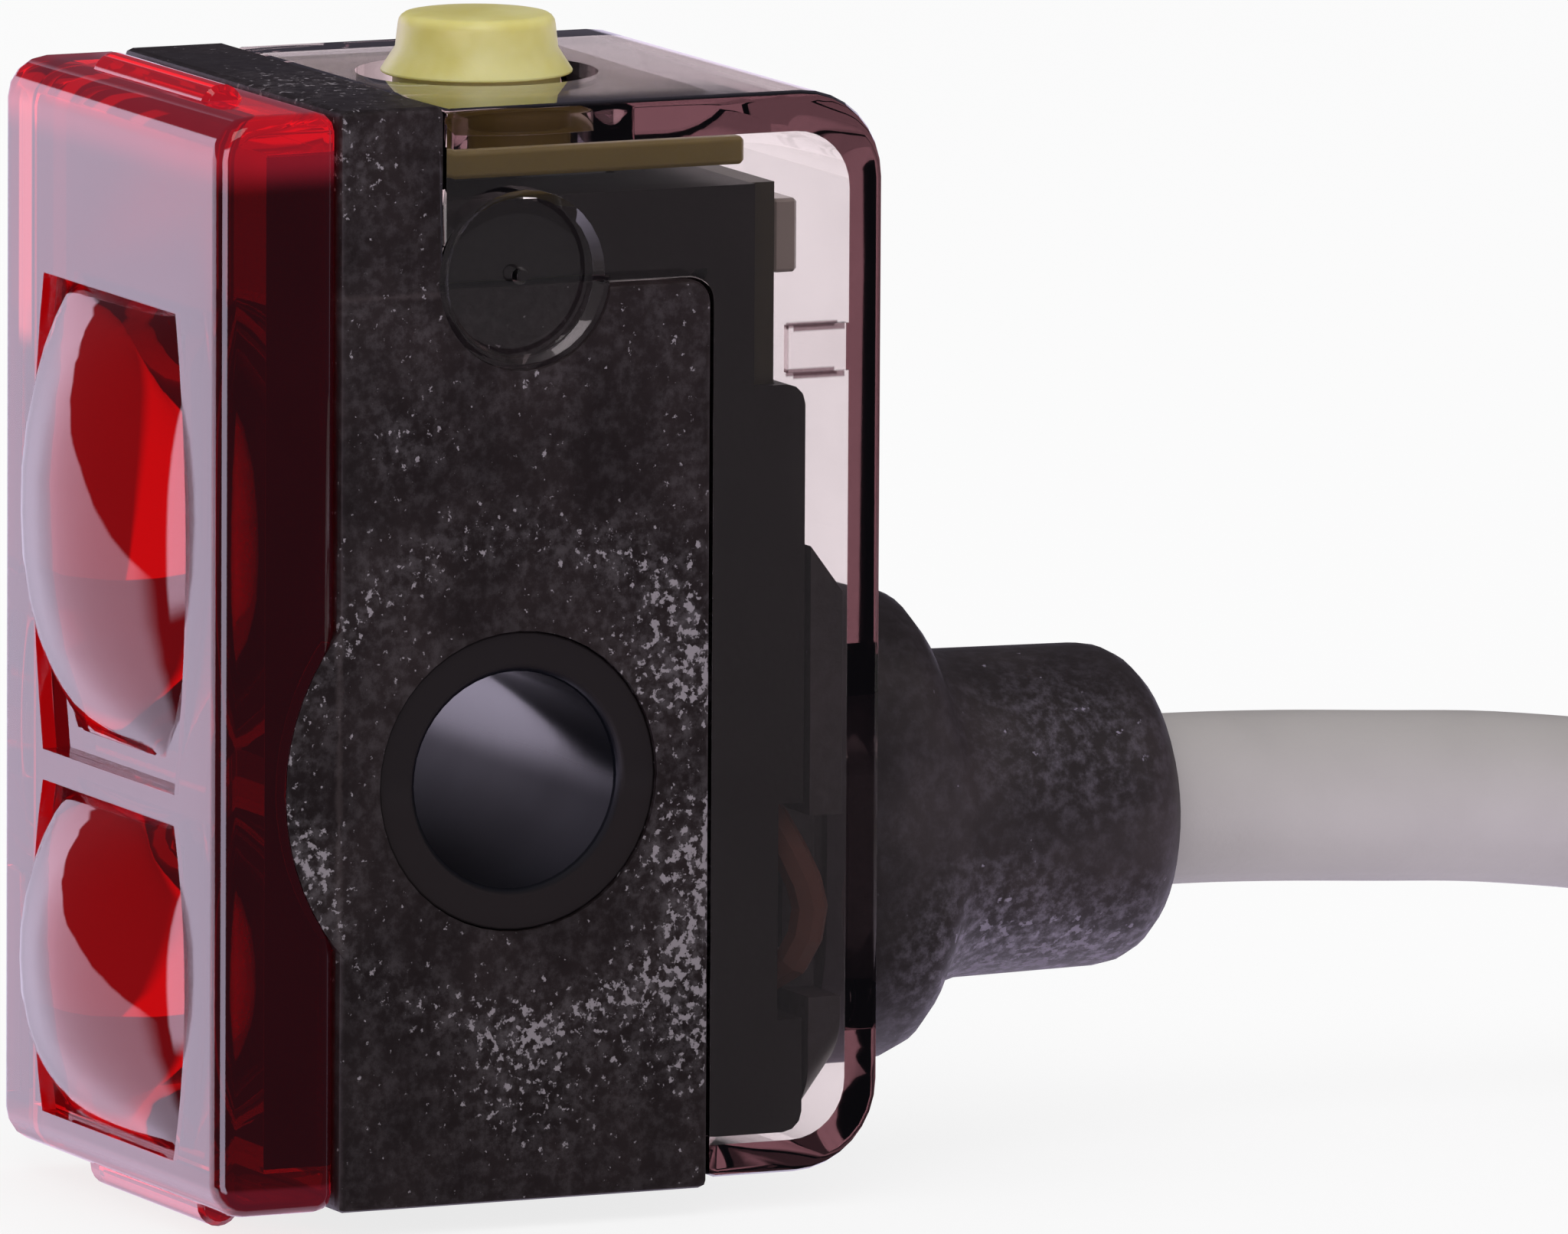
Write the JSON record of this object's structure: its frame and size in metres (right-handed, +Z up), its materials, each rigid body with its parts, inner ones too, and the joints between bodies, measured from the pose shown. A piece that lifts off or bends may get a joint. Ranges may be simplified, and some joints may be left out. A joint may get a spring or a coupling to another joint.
{
  "type": "reflective optical sensor",
  "caption": "Cuboid photoelectric sensor with a red lens window, a black body with a cross bore, a clear rear housing, a yellow teach button and a short cable with a round plug.",
  "frame": {"origin": "on the surface it stands on, under the middle of the sensor without its cable", "axes": "+Z up, -Y out of the lens window, +X towards the side with the near bore mouth"},
  "size_m": [0.0329, 0.0802, 0.0175],
  "materials": {
    "red_window": "polished transparent red",
    "black_body": "fine grained black with white dust",
    "black_inside": "matte black",
    "dark_sleeve": "smooth, near black",
    "smoky_clear": "transparent, smoky brown",
    "yellow_button": "milky yellow",
    "board_green": "solder mask",
    "chip_black": "moulded",
    "led_resin": "clear to grey resin",
    "ceramic": "fired",
    "cable_grey": "soft grey jacket",
    "plug_black": "moulded",
    "nickel": "nickel plated brass",
    "gold": "gold plated",
    "seal_red": "rubber",
    "lead_brown": "insulation",
    "lead_white": "insulation",
    "lead_blue": "insulation",
    "lead_black": "insulation"
  },
  "bodies": {
    "housing": {"window_cover": "red_window", "main_body": "black_body", "mounting_sleeve": "dark_sleeve", "rear_housing": "smoky_clear", "gland": "black_body", "optics_block": "black_inside", "emitter_chip": "led_resin", "emitter_board": "board_green", "receiver_chip": "chip_black", "receiver_board": "board_green", "switch_base": "chip_black", "switch_board": "board_green", "control_chip": "chip_black", "capacitor_1": "ceramic", "capacitor_2": "ceramic", "capacitor_3": "ceramic", "main_board": "board_green", "status_lamp": "led_resin", "inner_carrier": "black_inside", "lead_brown": "lead_brown", "lead_white": "lead_white", "lead_blue": "lead_blue", "lead_black": "lead_black", "cable": "cable_grey", "cable_coil": "cable_grey", "cable_tail": "cable_grey", "plug_grip": "plug_black", "plug_insert": "plug_black", "plug_pin_1": "gold", "plug_pin_2": "gold", "plug_pin_3": "gold", "plug_pin_4": "gold"},
    "button": {"teach_button": "yellow_button"},
    "plunger": {"switch_plunger": "ceramic"},
    "coupling_ring": {"plug_ring": "nickel", "plug_seal": "seal_red"}
  },
  "joints": [
    {"name": "button_press", "type": "slide", "parent": "housing", "child": "button", "axis": [0, 0, 1], "range_m": [-0.00025, 0], "stiffness_N_per_m": 400, "springref_m": 0.0004},
    {"name": "plunger_press", "type": "slide", "parent": "housing", "child": "plunger", "axis": [0, 0, 1], "range_m": [-0.00025, 0]},
    {"name": "ring_turn", "type": "hinge", "parent": "housing", "child": "coupling_ring", "pos_m": [0, 0.06646, 0.0051], "axis": [0, 1, 0], "continuous": true}
  ],
  "couplings": [
    {"joint": "plunger_press", "follows": "button_press", "ratio": 1}
  ]
}
